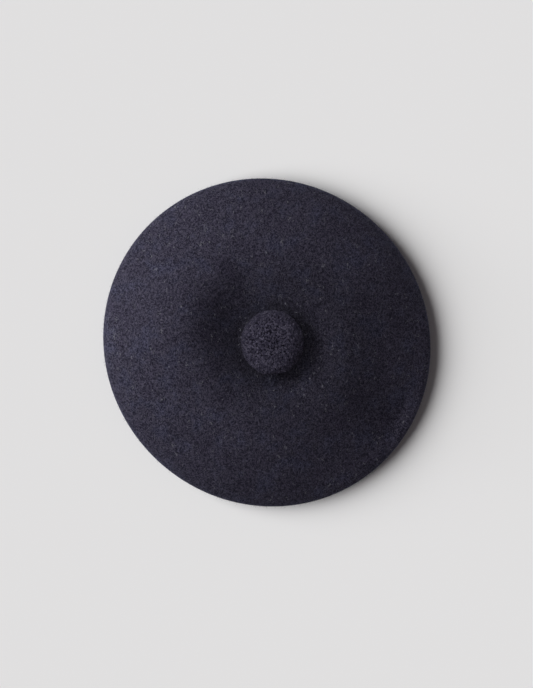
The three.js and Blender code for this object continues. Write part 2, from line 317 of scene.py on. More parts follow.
def twisted(name, route, diameter, plies, pitch):
    """A thread of plies twisted round each other along a route of close points."""
    ply_radius = diameter / 2 * (0.56 if plies == 2 else 0.5)
    reach = diameter / 2 - ply_radius
    side = Vector((0, 1, 0))
    twisted_routes = [[] for _ in range(plies)]
    length = 0
    for i, place in enumerate(route):
        before = route[max(i - 1, 0)]
        after = route[min(i + 1, len(route) - 1)]
        along = (after - before).normalized()
        side = (side - along * side.dot(along)).normalized()
        other = along.cross(side)
        if i:
            length += (place - route[i - 1]).length
        for ply in range(plies):
            turn = 2 * math.pi * (length / pitch + ply / plies)
            twisted_routes[ply].append(
                place + side * reach * math.cos(turn) + other * reach * math.sin(turn))
    return strands(name, twisted_routes, ply_radius)


def resample(corners, step):
    """Points at an even step along straight runs between corners."""
    points = [corners[0]]
    for start, end in zip(corners, corners[1:]):
        count = max(1, round((end - start).length / step))
        points += [start.lerp(end, (i + 1) / count) for i in range(count)]
    return points


def matrix_of(place, up, size=1.0, spin=0.0):
    """Stands a model on a place, its +Z along up, turned about itself by spin."""
    turn = up.to_track_quat("Z", "Y").to_matrix() @ Matrix.Rotation(spin, 3, "Z")
    return Matrix.Translation(place) @ (turn * size).to_4x4()


def copies(name, models, places, seed):
    """One mesh of many copies of small closed models.

    Each copy has a tone of its own, a tip share that runs from 0 at its root to 1 at its tip, and
    its own cell of the map, seen from its tip."""
    draw = random.Random(seed)
    shapes, tips, faces = [], [], []
    for model in models:
        shape = np.array([tuple(v.co) for v in model.data.vertices])
        tip = (shape[:, 2] - shape[:, 2].min()) / (shape[:, 2].max() - shape[:, 2].min())
        shapes.append(shape)
        tips.append(tip)
        faces.append([tuple(f.vertices) for f in model.data.polygons])
    cells = math.ceil(math.sqrt(len(places)))
    points, polygons, tone, tip_share, uvs = [], [], [], [], []
    start = 0
    for i, place in enumerate(places):
        kind = draw.randrange(len(models))
        turn = np.array(place.to_3x3())
        points.append(shapes[kind] @ turn.T + np.array(place.translation))
        count = len(shapes[kind])
        polygons += [tuple(v + start for v in face) for face in faces[kind]]
        start += count
        tone += [draw.random()] * count
        tip_share += list(tips[kind])
        angle = np.arctan2(shapes[kind][:, 1], shapes[kind][:, 0])
        away = 0.46 - 0.4 * tips[kind]
        corner = np.array([i % cells, i // cells])
        spread = np.stack([np.cos(angle) * away, np.sin(angle) * away], axis=1)
        uv = (corner + 0.5 + spread) / cells
        uvs += [uv[v] for face in faces[kind] for v in face]
    mesh = bpy.data.meshes.new(name)
    mesh.from_pydata(np.concatenate(points).tolist(), [], polygons)
    mesh.attributes.new("tone", "FLOAT", "POINT").data.foreach_set("value", tone)
    mesh.attributes.new("tip", "FLOAT", "POINT").data.foreach_set("value", tip_share)
    mesh.uv_layers.new(name="OFBake").data.foreach_set("uv", np.concatenate(uvs))
    piece = bpy.data.objects.new(name, mesh)
    bpy.context.scene.collection.objects.link(piece)
    for model in models:
        bpy.data.objects.remove(model)
    shade(piece, 60)
    return piece


# ---- Helpers for materials

class Finish:
    """A material being mixed: its nodes, and short ways to add to them."""

    def __init__(self, name, **sockets):
        self.material = bpy.data.materials.new(name)
        self.material.use_nodes = True
        self.nodes = self.material.node_tree.nodes
        self.links = self.material.node_tree.links
        self.shader = self.nodes["Principled BSDF"]
        for socket, value in sockets.items():
            self.shader.inputs[socket.replace("_", " ")].default_value = value

    def add(self, kind, links=None, values=None, **settings):
        node = self.nodes.new("ShaderNode" + kind)
        for key, value in settings.items():
            setattr(node, key, value)
        for socket, value in (values or {}).items():
            node.inputs[socket].default_value = value
        for socket, source in (links or {}).items():
            self.links.new(source, node.inputs[socket])
        return node

    def places(self):
        return self.add("TexCoord").outputs["Object"]

    def map_places(self):
        return self.add("TexCoord").outputs["UV"]

    def attribute(self, name):
        return self.add("Attribute", attribute_name=name).outputs["Fac"]

    def math(self, operation, first, second=None, clamp=False):
        node = self.add("Math", operation=operation, use_clamp=clamp)
        for socket, value in ((0, first), (1, second)):
            if isinstance(value, (int, float)):
                node.inputs[socket].default_value = value
            elif value is not None:
                self.links.new(value, node.inputs[socket])
        return node.outputs[0]

    def weighed(self, first, share, second, other_share):
        """Two greys added up, each by its share."""
        return self.math("ADD", self.math("MULTIPLY", first, share),
                         self.math("MULTIPLY", second, other_share))

    def noise(self, places, scale, detail=2.0, roughness=0.5):
        node = self.add("TexNoise", {"Vector": places},
                        {"Scale": scale, "Detail": detail, "Roughness": roughness})
        return node.outputs["Fac"]

    def laid(self, places, turn, stretch):
        """Places turned about +Z and stretched, so that a grain read from them lies one way."""
        return self.add("Mapping", {"Vector": places},
                        {"Rotation": (0, 0, math.radians(turn)), "Scale": (1, stretch, 1)}).outputs[0]

    def warped(self, places, scale, reach):
        """Places pushed about by a soft noise, so that what is read from them curls."""
        push = self.add("TexNoise", {"Vector": places}, {"Scale": scale, "Detail": 1.0})
        centred = self.add("VectorMath", {0: push.outputs["Color"]}, {1: (0.5, 0.5, 0.5)},
                           operation="SUBTRACT")
        scaled = self.add("VectorMath", {0: centred.outputs[0]}, {3: reach}, operation="SCALE")
        return self.add("VectorMath", {0: places, 1: scaled.outputs[0]}, operation="ADD").outputs[0]

    def ridges(self, grey, width):
        """Thin bright lines along the middle value of a noise."""
        off = self.math("ABSOLUTE", self.math("SUBTRACT", grey, 0.5))
        return self.math("SUBTRACT", 1.0, self.math("DIVIDE", off, width), clamp=True)

    def ramp(self, grey, *stops):
        node = self.add("ValToRGB", {"Fac": grey})
        colours = node.color_ramp.elements
        while len(colours) < len(stops):
            colours.new(0.5)
        for element, (place, colour) in zip(colours, stops):
            element.position = place
            element.color = (*colour, 1)
        return node.outputs["Color"]

    def away_from(self, x, y):
        """How far a place is from an upright line, in metres."""
        cut = self.add("SeparateXYZ", {0: self.places()})
        squares = [self.math("POWER", self.math("ABSOLUTE", self.math("SUBTRACT", side, at)), 2.0)
                   for side, at in ((cut.outputs[0], x), (cut.outputs[1], y))]
        return self.math("SQRT", self.math("ADD", *squares))

    def faded(self, away, near, far, low):
        """A share that rises smoothly from low at the near distance to 1 at the far one."""
        span = self.add("MapRange", {"Value": away},
                        {"From Min": near, "From Max": far, "To Min": low, "To Max": 1.0},
                        interpolation_type="SMOOTHSTEP")
        return span.outputs[0]

    def painted_dip_and_pompom_shade(self):
        """Painted shade: the felt's colour darkened in the crown's dip and round the pompom, where
        shade falls.
        """
        dip = self.faded(self.away_from(DIP_SHADE_X, 0.0), *DIP_SHADE)
        under = self.faded(self.away_from(POMPOM_X, 0.0), *POMPOM_SHADE)
        return self.math("MULTIPLY", dip, under)

    def mix(self, share, first, second, blend="MIX"):
        node = self.add("Mix", data_type="RGBA", blend_type=blend)
        for socket, value in ((0, share), (6, first), (7, second)):
            if isinstance(value, (int, float, tuple)):
                node.inputs[socket].default_value = value if socket == 0 else (*value, 1)
            else:
                self.links.new(value, node.inputs[socket])
        return node.outputs[2]

    def times(self, colour, other):
        return self.mix(1.0, colour, other, blend="MULTIPLY")

    def paint(self, colour):
        self.links.new(colour, self.shader.inputs["Base Color"])

    def rough(self, grey, low, high):
        span = self.add("MapRange", {"Value": grey}, {"To Min": low, "To Max": high})
        self.links.new(span.outputs[0], self.shader.inputs["Roughness"])

    def bump(self, grey, distance, strength=1.0):
        bump = self.add("Bump", {"Height": grey}, {"Distance": distance, "Strength": strength})
        self.links.new(bump.outputs[0], self.shader.inputs["Normal"])


# ---- Materials

def fulled_wool():
    """Navy wool spun from dark and lighter fibres, matted together, with pale stray hairs."""
    finish = Finish("fulled_wool", Roughness=0.95, Specular_IOR_Level=0.15, Sheen_Weight=0.26,
                    Sheen_Roughness=0.36, Sheen_Tint=(0.45, 0.54, 0.90, 1))
    places = finish.warped(finish.places(), 240, 0.0035)
    coarse = finish.ridges(finish.noise(places, 430, 2.0, 0.6), 0.11)
    lying = finish.ridges(finish.noise(finish.laid(places, 25, 0.45), 820, 2.0), 0.10)
    across = finish.ridges(finish.noise(finish.laid(places, 115, 0.45), 760, 2.0), 0.10)
    fibres = finish.math("MAXIMUM", lying, across)
    tangle = finish.weighed(coarse, 0.5, fibres, 0.5)
    wool = finish.ramp(tangle, (0.05, (0.0135, 0.0122, 0.0225)), (0.40, (0.0255, 0.0235, 0.0395)),
                       (0.95, (0.0950, 0.0875, 0.1300)))
    clouds = finish.noise(finish.places(), 55, 3.0, 0.6)
    cast = finish.ramp(clouds, (0.35, (0.90, 0.88, 0.92)), (0.5, (1.0, 1.0, 1.0)),
                       (0.65, (1.02, 1.08, 1.16)))
    tinted = finish.times(wool, cast)
    # painted shade: the felt darkened in the crown's dip and round the pompom
    tinted = finish.times(tinted, finish.painted_dip_and_pompom_shade())
    hairs = finish.ridges(finish.noise(finish.laid(places, 70, 0.3), 300, 0.0), 0.014)
    some = finish.math("GREATER_THAN", finish.noise(finish.places(), 260, 0.0), 0.58)
    finish.paint(finish.mix(finish.math("MULTIPLY", hairs, some), tinted, (0.17, 0.17, 0.20)))
    finish.rough(tangle, 1.0, 0.82)
    finish.bump(tangle, 0.35 * MM, 0.8)
    return finish.material


def stray_fibre():
    """Single fibres, most of them navy and a few pale."""
    finish = Finish("stray_wool_fibre", Roughness=0.8, Specular_IOR_Level=0.2, Sheen_Weight=0.2,
                    Sheen_Roughness=0.4, Sheen_Tint=(0.6, 0.65, 0.85, 1))
    tone = finish.attribute("tone")
    finish.paint(finish.ramp(tone, (0.0, (0.020, 0.021, 0.038)), (0.7, (0.085, 0.090, 0.150)),
                             (1.0, (0.260, 0.265, 0.340))))
    return finish.material


def cut_yarn():
    """Cut yarn ends with painted shade: dark at their roots, where the ends stand close, and darker
    low on the ball than on its top; lighter at their frayed tips.
    """
    finish = Finish("cut_wool_yarn", Roughness=0.95, Specular_IOR_Level=0.15, Sheen_Weight=0.06,
                    Sheen_Roughness=0.45, Sheen_Tint=(0.5, 0.55, 0.9, 1))
    places = finish.warped(finish.places(), 500, 0.0012)
    fray = finish.noise(places, 1250, 1.0, 0.6)
    tone = finish.attribute("tone")
    light = finish.weighed(tone, 0.25, fray, 0.75)
    yarn = finish.ramp(light, (0.28, (0.045, 0.041, 0.070)), (0.5, (0.120, 0.110, 0.175)),
                       (0.72, (0.330, 0.308, 0.425)))
    # painted shade: each yarn end darker towards its root, where the ends stand close
    pile_with_painted_root_shade = finish.mix(finish.math("POWER", finish.attribute("tip"), 1.4),
                      (0.030, 0.027, 0.045), yarn)
    # painted shade: the ball darker below its top, by height
    height = finish.add("SeparateXYZ", {0: finish.places()}).outputs[2]
    painted_side_shade = finish.faded(height, *SIDE_SHADE)
    finish.paint(finish.times(pile_with_painted_root_shade, painted_side_shade))
    finish.bump(fray, 0.2 * MM, 0.6)
    return finish.material


def heart_yarn_painted_dark():
    """The yarn between the cut ends, coloured darker than the ends: painted shade deep among them."""
    finish = Finish("heart_yarn_painted_dark", Roughness=1.0, Specular_IOR_Level=0.1)
    grain = finish.ridges(finish.noise(finish.warped(finish.places(), 400, 0.002), 800), 0.12)
    finish.paint(finish.ramp(grain, (0.1, (0.012, 0.011, 0.018)), (0.9, (0.044, 0.041, 0.064))))
    finish.bump(grain, 0.3 * MM)
    return finish.material


def ribbed_ribbon():
    """Near-black corded ribbon with its threads across and a little wear."""
    finish = Finish("ribbed_ribbon", Specular_IOR_Level=0.35, Sheen_Weight=0.1,
                    Sheen_Roughness=0.5, Sheen_Tint=(0.7, 0.7, 0.8, 1))
    threads = finish.add("TexWave", {"Vector": finish.map_places()},
                         {"Scale": 15.0, "Distortion": 0.4, "Detail": 1.0},
                         bands_direction="Y").outputs["Fac"]
    wear = finish.noise(finish.places(), 90, 3.0, 0.6)
    cast = finish.weighed(threads, 0.4, wear, 0.6)
    finish.paint(finish.ramp(cast, (0.2, (0.006, 0.006, 0.010)), (0.8, (0.022, 0.022, 0.032))))
    finish.rough(wear, 0.45, 0.7)
    finish.bump(threads, 0.06 * MM, 0.6)
    return finish.material


def twisted_thread():
    """Sewing thread: a fine slanting grain."""
    finish = Finish("sewing_thread", Specular_IOR_Level=0.4, Sheen_Weight=0.1,
                    Sheen_Roughness=0.4)
    grain = finish.noise(finish.laid(finish.places(), 30, 0.4), 3800, 2.0)
    finish.paint(finish.ramp(grain, (0.35, (0.010, 0.010, 0.018)), (0.65, (0.036, 0.036, 0.056))))
    finish.rough(grain, 0.4, 0.65)
    finish.bump(grain, 0.05 * MM, 0.7)
    return finish.material


def tie_yarn():
    """The plied cord at the pompom's heart, coarser than the thread."""
    finish = Finish("tie_cord", Specular_IOR_Level=0.3, Sheen_Weight=0.2, Sheen_Roughness=0.4)
    grain = finish.noise(finish.laid(finish.places(), 60, 0.4), 2400, 3.0)
    finish.paint(finish.ramp(grain, (0.35, (0.011, 0.011, 0.018)), (0.65, (0.034, 0.033, 0.050))))
    finish.rough(grain, 0.6, 0.85)
    finish.bump(grain, 0.08 * MM, 0.7)
    return finish.material


def pressed_felt():
    """Smooth close felt, greyer than the shell."""
    finish = Finish("pressed_felt", Roughness=0.9, Specular_IOR_Level=0.15, Sheen_Weight=0.25,
                    Sheen_Roughness=0.5)
    mat = finish.noise(finish.warped(finish.places(), 600, 0.0015), 1300, 3.0, 0.65)
    finish.paint(finish.ramp(mat, (0.35, (0.012, 0.012, 0.017)), (0.65, (0.050, 0.050, 0.064))))
    finish.bump(mat, 0.15 * MM, 0.8)
    return finish.material


def dark_horn():
    """Horn-look resin: brown-black with paler streaks and a worn shine."""
    finish = Finish("dark_horn", Specular_IOR_Level=0.5, Coat_Weight=0.15, Coat_Roughness=0.25)
    places = finish.warped(finish.places(), 160, 0.006)
    streaks = finish.noise(finish.laid(places, 35, 0.15), 520, 3.0, 0.6)
    finish.paint(finish.ramp(streaks, (0.4, (0.008, 0.006, 0.005)), (0.55, (0.020, 0.013, 0.010)),
                             (0.7, (0.062, 0.042, 0.030))))
    finish.rough(streaks, 0.28, 0.42)
    finish.bump(finish.noise(finish.places(), 900, 3.0), 0.02 * MM, 0.5)
    return finish.material


def damask(name, ground, raised, pattern):
    """A woven label: satin ground, a border line and a small all-over figure, and no lettering."""
    finish = Finish(name, Specular_IOR_Level=0.4, Sheen_Weight=0.1, Sheen_Roughness=0.4)
    map_places = finish.map_places()
    cut = finish.add("SeparateXYZ", {0: map_places})
    across = finish.math("ABSOLUTE", finish.math("SUBTRACT", cut.outputs[1], 0.5))
    near = finish.math("ABSOLUTE", finish.math("SUBTRACT", across, 0.40))
    border = finish.math("LESS_THAN", near, 0.028)
    slanted = finish.add("Mapping", {"Vector": map_places},
                         {"Rotation": (0, 0, math.radians(45)), "Scale": pattern})
    figure = finish.add("TexChecker", {"Vector": slanted.outputs[0]}, {"Scale": 1.0})
    inside = finish.math("LESS_THAN", across, 0.30)
    figured = finish.math("MULTIPLY", figure.outputs["Fac"], finish.math("MULTIPLY", inside, 0.35))
    weave = finish.add("Mapping", {"Vector": map_places}, {"Scale": (60, 22, 1)})
    floats = finish.add("TexWave", {"Vector": weave.outputs[0]},
                        {"Scale": 1.0, "Distortion": 0.3},
                        bands_direction="DIAGONAL").outputs["Fac"]
    share = finish.math("ADD", finish.math("MAXIMUM", border, figured),
                        finish.math("MULTIPLY", floats, 0.18), clamp=True)
    finish.paint(finish.mix(share, ground, raised))
    finish.rough(floats, 0.35, 0.6)
    finish.bump(finish.math("ADD", floats, finish.math("MULTIPLY", border, 2.0)), 0.05 * MM, 0.7)
    return finish.material


def satin_tape():
    """Off-white satin with fine floats and a little soil."""
    finish = Finish("satin_tape", Specular_IOR_Level=0.5, Sheen_Weight=0.15, Sheen_Roughness=0.3)
    weave = finish.add("Mapping", {"Vector": finish.map_places()}, {"Scale": (24, 12, 1)})
    floats = finish.add("TexWave", {"Vector": weave.outputs[0]},
                        {"Scale": 1.0, "Distortion": 0.6, "Detail": 2.0},
                        bands_direction="X").outputs["Fac"]
    soil = finish.noise(finish.places(), 120, 3.0)
    cast = finish.weighed(floats, 0.5, soil, 0.5)
    finish.paint(finish.ramp(cast, (0.2, (0.62, 0.60, 0.54)), (0.8, (0.80, 0.78, 0.73))))
    finish.rough(floats, 0.3, 0.5)
    finish.bump(floats, 0.04 * MM, 0.6)
    return finish.material


# ---- The wool shell

def slump(x, y):
    """How far the slumped crown stands above its plain round shape."""
    rise = 0
    for fold_x, fold_y, reach, height in CROWN_FOLDS:
        away = math.hypot(x - fold_x * MM, y - fold_y * MM) / (reach * MM)
        rise += height * MM * math.exp(-away * away)
    return rise * smooth(FOLD_START, FOLD_FULL, math.hypot(x - POMPOM_X, y))


def shell_line():
    """The middle of the felt, from the crown's centre over the rim and under to the hem's edge."""
    half = FELT / 2
    rim = RIM_RADIUS - half
    ridge = (RIDGE_RADIUS, RIDGE_HEIGHT - half)
    dip = (DIP_RADIUS, DIP_HEIGHT - half)
    wall = ridge[0] - dip[0]
    line = [(dip[0] * share, dip[1]) for share in (0.1, 0.3, 0.5, 0.7, 0.9)]
    line += bezier(dip, (dip[0] + wall * DIP_PULL, dip[1]),
                   (ridge[0] - wall * RIDGE_PULL, ridge[1]), ridge, 28)
    line += bezier(ridge,
                   (ridge[0] + (rim - ridge[0]) * SHOULDER_PULL, ridge[1]),
                   (rim, RIM_HEIGHT + (ridge[1] - RIM_HEIGHT) * RIM_PULL),
                   (rim, RIM_HEIGHT), 44)[1:]
    line += bezier((rim, RIM_HEIGHT),
                   (rim, RIM_HEIGHT * UNDER_PULL),
                   (FOOT_OUTER + (rim - FOOT_OUTER) * UNDER_PULL, half),
                   (FOOT_OUTER, half), 16)[1:]
    bend_radius = HEM_RADIUS + HEM_BEND
    line += [(FOOT_OUTER + (bend_radius - FOOT_OUTER) * i / 8, half) for i in range(1, 8)]
    for i in range(7):
        turn = -math.pi / 2 - i * math.pi / 12
        line.append((bend_radius + HEM_BEND * math.cos(turn),
                     half + HEM_BEND + HEM_BEND * math.sin(turn)))
    low = half + HEM_BEND
    line += [(HEM_RADIUS, low + (HEM_HEIGHT - low) * i / 6) for i in range(1, 7)]
    return line


def settled(point):
    """Where a point of the plain turned shape comes to rest once the soft crown has slumped."""
    x, y, z = point
    r = math.hypot(x, y)
    turn = math.atan2(y, x)
    over = smooth(HEM_HEIGHT, HEM_HEIGHT + FELT, z)
    drift = POMPOM_X * (1 - smooth(DRIFT_RADIUS, RIM_RADIUS, r)) * over
    oval = RIM_OVAL * math.cos(2 * (turn - RIM_OVAL_TURN)) * smooth(FOOT_OUTER, RIM_RADIUS, r)
    share = 1 + oval / r if r > 0 else 1
    px, py = x * share + drift, y * share
    crown = smooth(RIM_HEIGHT, RIM_HEIGHT + SLUMP_FADE, z)
    ripple = RIPPLE * noise.noise(Vector((px, py, z)) / RIPPLE_LENGTH)
    lumps = LUMP * noise.noise(Vector((px, py, z)) / LUMP_LENGTH)
    return Vector((px, py, z + crown * (slump(px, py) + ripple + lumps)))


def wool_shell():
    """The seamless shell; gives back the places where stray fibres stand on it."""
    piece = revolve("felt_shell", shell_line(), 288, close_start=True)
    for vertex in piece.data.vertices:
        vertex.co = settled(vertex.co)
    nap = nap_places(piece)
    apply_modifier(piece, "SOLIDIFY", thickness=FELT, offset=0, use_even_offset=True)
    shade(piece)
    settle_in(piece, fulled_wool(), "hat", "wool_felt", "wool_shell")
    return nap


# ---- The nap: stray fibres that stand off the felt

def nap_places(shell):
    """Where fibres stand on the outside of the felt: more of them round the rim."""
    draw = random.Random(11)
    sunk = 0.1 * MM
    faces, weights = [], []
    for face in shell.data.polygons:
        r = math.hypot(face.center.x, face.center.y)
        if face.center.z < NAP_LOWEST or r < NAP_INNER:
            continue
        near_rim = smooth(RIM_RADIUS - 14 * MM, RIM_RADIUS - 2 * MM, r)
        faces.append(face)
        weights.append(face.area * (1 + RIM_EXTRA * near_rim))
    places = []
    for face in draw.choices(faces, weights, k=NAP_FIBRES):
        corners = [shell.data.vertices[v].co for v in face.vertices]
        u, v = draw.random(), draw.random()
        spot = corners[0].lerp(corners[1], u).lerp(corners[-1].lerp(corners[-2], u), v)
        out = face.normal.copy()
        lean = Vector((draw.gauss(0, 1), draw.gauss(0, 1), draw.gauss(0, 0.6)))
        lean -= out * lean.dot(out)
        way = (out + lean * 1.5).normalized()
        root = spot + out * (FELT / 2 - sunk)
        places.append(matrix_of(root, way, draw.uniform(0.5, 1.25), draw.uniform(0, 2 * math.pi)))
    return places


def fibre_model(name, bow, wave):
    """A curled fibre that tapers to its tip."""
    thick = 0.035 * MM
    profile = [(thick, 0), (thick, NAP_FIBRE * 0.33), (0.03 * MM, NAP_FIBRE * 0.66),
               (0.012 * MM, NAP_FIBRE)]
    piece = revolve(name, profile, 3, close_start=True, close_end=True)
    for vertex in piece.data.vertices:
        share = vertex.co.z / NAP_FIBRE
        vertex.co.x += bow * share * share + wave * math.sin(share * 2 * math.pi)
    return piece


def stray_nap(places):
    """Straight, bowed and curled fibres at the places that wool_shell gives."""
    models = [fibre_model("fibre_straight", 0.2 * MM, 0),
              fibre_model("fibre_bowed", 1.1 * MM, 0),
              fibre_model("fibre_curled", 0.9 * MM, 0.3 * MM)]
    piece = copies("wool_nap", models, places, seed=5)
    settle_in(piece, stray_fibre(), "hat", "wool_felt")


# ---- The pompom

def pompom_ball():
    """The middle of the pompom, and its half widths along X, Y and Z."""
    low, high = (Vector(corner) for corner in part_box("pompom"))
    return (low + high) / 2, (high - low) / 2


def yarn_end_model(name, flare):
    """One cut end of three-ply yarn: its plies splay, and each is cut at its own height."""
    root, belly, tip = 0.44 * MM, 0.58 * MM * flare, 0.47 * MM * flare
    apart, splay = 0.38 * MM, 0.17 * MM
    plies = []
    for i, cut in enumerate((0.93, 1.0, 1.07)):
        length = PILE * cut
        profile = [(root, 0), (belly, length * 0.72), (tip, length)]
        ply = revolve(name, profile, 3, close_start=True, close_end=True)
        turn = 2 * math.pi * i / 3
        for vertex in ply.data.vertices:
            share = vertex.co.z / length
            spread = apart + splay * share * share
            vertex.co.x += spread * math.cos(turn)
            vertex.co.y += spread * math.sin(turn)
        plies.append(ply)
    pick(plies[0])
    for ply in plies[1:]:
        ply.select_set(True)
    bpy.ops.object.join()
    return plies[0]


def pompom_pile():
    """Yarn ends spread evenly over the ball, clipped a little unevenly, open below for the neck."""
    middle, half = pompom_ball()
    uneven = 0.7 * MM
    clipped = 0.16 * MM
    sunk = 0.5 * MM
    draw = random.Random(3)
    golden = math.pi * (3 - math.sqrt(5))
    places = []
    for i in range(YARN_ENDS):
        rise = 1 - 2 * (i + 0.5) / YARN_ENDS
        ring = math.sqrt(1 - rise * rise)
        turn = i * golden
        way = Vector((ring * math.cos(turn), ring * math.sin(turn), rise))
        way = (way + Vector([draw.gauss(0, 0.013) for _ in range(3)])).normalized()
        surface = Vector([way[axis] * half[axis] for axis in range(3)])
        if rise < 0 and math.hypot(surface.x, surface.y) < NECK_ROOM:
            continue
        out = Vector([way[axis] / half[axis] for axis in range(3)]).normalized()
        bumpy = uneven * noise.noise(way * 2.2) + draw.gauss(0, clipped)
        root = middle + surface + out * (bumpy - PILE - sunk)
        lean = (out + Vector([draw.gauss(0, 0.16) for _ in range(3)])).normalized()
        places.append(matrix_of(root, lean, draw.uniform(0.9, 1.12), draw.uniform(0, 2 * math.pi)))
    models = [yarn_end_model("yarn_end_plain", 1.0), yarn_end_model("yarn_end_frayed", 1.12)]
    piece = copies("pompom_pile", models, places, seed=8)
    settle_in(piece, cut_yarn(), "pompom", "pompom_yarn", "pompom")
    return piece


def pompom_heart():
    """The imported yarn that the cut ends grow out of."""
    middle, half = pompom_ball()
    deselect()
    bpy.ops.mesh.primitive_ico_sphere_add(subdivisions=5, radius=1, location=(0, 0, 0))
    piece = name_piece("pompom_heart")
    inset = PILE - 0.3 * MM
    uneven = 0.5 * MM
    for vertex in piece.data.vertices:
        way = vertex.co.normalized()
        vertex.co = middle + Vector([way[axis] * (half[axis] - inset) for axis in range(3)])
        vertex.co += way * uneven * noise.noise(way * 9)
    shade(piece)
    settle_in(piece, heart_yarn_painted_dark(), "pompom", "pompom_yarn")
    return piece


# ---- The pompom's anchorage

def pompom_tie():
    """The cord that binds the pompom: a loop at its heart and a tail down to the neck."""
    low, high = (Vector(corner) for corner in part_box("pompom_tie"))
    radius = (high.x - low.x) / 2 - TIE_CORD / 2
    heart = Vector((POMPOM_X, 0, high.z - radius - TIE_CORD / 2))
    steps = 80
    route = []
    for i in range(steps + 1):
        turn = math.pi * (1.5 + 2 * i / steps)
        route.append(heart + Vector((radius * math.cos(turn), 0, radius * math.sin(turn))))
    route += resample([Vector((POMPOM_X, 0, heart.z - radius)), Vector((POMPOM_X, 0, low.z))],
                      0.3 * MM)
    piece = twisted("pompom_tie_cord", route, TIE_CORD, 3, 4.5 * MM)
    settle_in(piece, tie_yarn(), "pompom", "tie_cord", "pompom_tie")


def thread_neck():
    """Thread wound round the sewing strands below the pompom."""
    low, high = (Vector(corner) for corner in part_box("thread_neck"))
    middle = (low + high) / 2
    radius = (high.x - low.x) / 2 - THREAD / 2
    climb = high.z - low.z - THREAD
    turns = climb / (THREAD * 0.92)
    steps = round(turns * 36)
    axis = Vector((middle.x, middle.y, 0))
    coil = []
    for i in range(steps + 1):
        height = low.z + THREAD / 2 + climb * i / steps
        coil.append(axis + on_ring(radius, 2 * math.pi * turns * i / steps, height))
    winding = strands("neck_winding", [coil], THREAD / 2)
    settle_in(winding, twisted_thread(), "neck", "sewing_thread", "thread_neck")
    out = 0.9 * MM
    inset = 0.1 * MM
    pulled_in = 0.8
    routes = []
    for x in (-out, out):
        for y in (-out, out):
            routes.append([Vector((middle.x + x, middle.y + y, low.z + inset)),
                           Vector((middle.x + x * pulled_in, middle.y + y * pulled_in, middle.z)),
                           Vector((middle.x + x, middle.y + y, high.z - inset))])
    core = strands("neck_strands", routes, 1.0 * MM, 3)
    settle_in(core, twisted_thread(), "neck", "sewing_thread")


def stay_patch():
    """A round of pressed felt, cut by hand, so its edge is a little uneven."""
    low, high = (Vector(corner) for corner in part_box("stay_patch"))
    middle = (low + high) / 2
    edge = (high.x - low.x) / 2
    soft = 0.35 * MM
    jagged = 0.25 * MM
    sag = 0.12 * MM
    shares = (0.1, 0.3, 0.5, 0.7, 0.85)
    profile = [(edge * share, high.z) for share in shares]
    profile += [(edge - soft, high.z), (edge - soft * 0.3, high.z - soft * 0.3),
                (edge, high.z - soft), (edge, low.z + soft),
                (edge - soft * 0.3, low.z + soft * 0.3), (edge - soft, low.z)]
    profile += [(edge * share, low.z) for share in reversed(shares)]
    piece = revolve("stay_felt_disc", profile, 96, close_start=True, close_end=True)
    for vertex in piece.data.vertices:
        turn = math.atan2(vertex.co.y, vertex.co.x)
        r = math.hypot(vertex.co.x, vertex.co.y)
        uneven = jagged * noise.noise(Vector((math.cos(turn), math.sin(turn), 0)) * 3)
        cut = 1 + uneven / edge * smooth(edge * 0.7, edge, r)
        dished = sag * noise.noise(vertex.co / (6 * MM)) * smooth(0, edge, r)
        vertex.co = Vector((middle.x + vertex.co.x * cut, middle.y + vertex.co.y * cut,
                            vertex.co.z + dished))
    shade(piece, 50)
    settle_in(piece, pressed_felt(), "hat", "stay_felt", "stay_patch")


def stay_button():
    """A round-edged button with a dished face and four holes; its face looks down at the head."""
    low, high = (Vector(corner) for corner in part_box("stay_button"))
    middle = (low + high) / 2
    edge = (high.x - low.x) / 2
    dish = low.z + 0.6 * MM
    rim = edge - 2.2 * MM
    slope = 0.5 * MM
    hub = 0.6 * MM
    profile = [(hub, high.z), (edge * 0.6, high.z)]
    profile += bezier((edge - 0.9 * MM, high.z), (edge - 0.2 * MM, high.z),
                      (edge, high.z - 0.4 * MM), (edge, high.z - 1.0 * MM), 6)
    profile += bezier((edge, low.z + 0.9 * MM), (edge, low.z + 0.3 * MM),
                      (edge - 0.4 * MM, low.z), (edge - 1.1 * MM, low.z), 6)
    profile += bezier((rim, low.z), (rim - slope, low.z),
                      (rim - slope, dish), (rim - 1.4 * MM, dish), 6)
    profile += [(hub, dish)]
    piece = revolve("four_hole_button", profile, 96, close_start=True, close_end=True)
    for vertex in piece.data.vertices:
        vertex.co.x += middle.x
        vertex.co.y += middle.y
    spacing = 3.6 * MM
    hole = 0.8 * MM
    for side_x in (-0.5, 0.5):
        for side_y in (-0.5, 0.5):
            deselect()
            bpy.ops.mesh.primitive_cylinder_add(
                vertices=32, radius=hole, depth=6 * MM,
                location=(middle.x + side_x * spacing, middle.y + side_y * spacing, middle.z))
            drill = bpy.context.object
            bpy.ops.object.transform_apply(location=True)
            apply_modifier(piece, "BOOLEAN", object=drill, operation="DIFFERENCE", solver="EXACT")
            bpy.data.objects.remove(drill)
    shade(piece, 40)
    settle_in(piece, dark_horn(), "hat", "button", "stay_button")


def anchor_stitches():
    """Two doubled stitches that hold the button, each up through two of its holes."""
    for name in ("anchor_stitch_front", "anchor_stitch_back"):
        low, high = (Vector(corner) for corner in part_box(name))
        thread = high.y - low.y
        y = (low.y + high.y) / 2
        left = low.x + thread / 2
        right = high.x - thread / 2
        foot = low.z + thread / 2
        bend = thread * 0.9
        corner = bend * 0.3
        line = [(left, high.z), (left, foot + bend), (left + corner, foot + corner),
                (left + bend, foot), (right - bend, foot), (right - corner, foot + corner),
                (right, foot + bend), (right, high.z)]
        route = resample([Vector((x, y, z)) for x, z in line], 0.16 * MM)
        piece = twisted(name + "_thread", route, thread, 2, 2.0 * MM)
        settle_in(piece, twisted_thread(), "hat", "sewing_thread", name)


# ---- Sewing

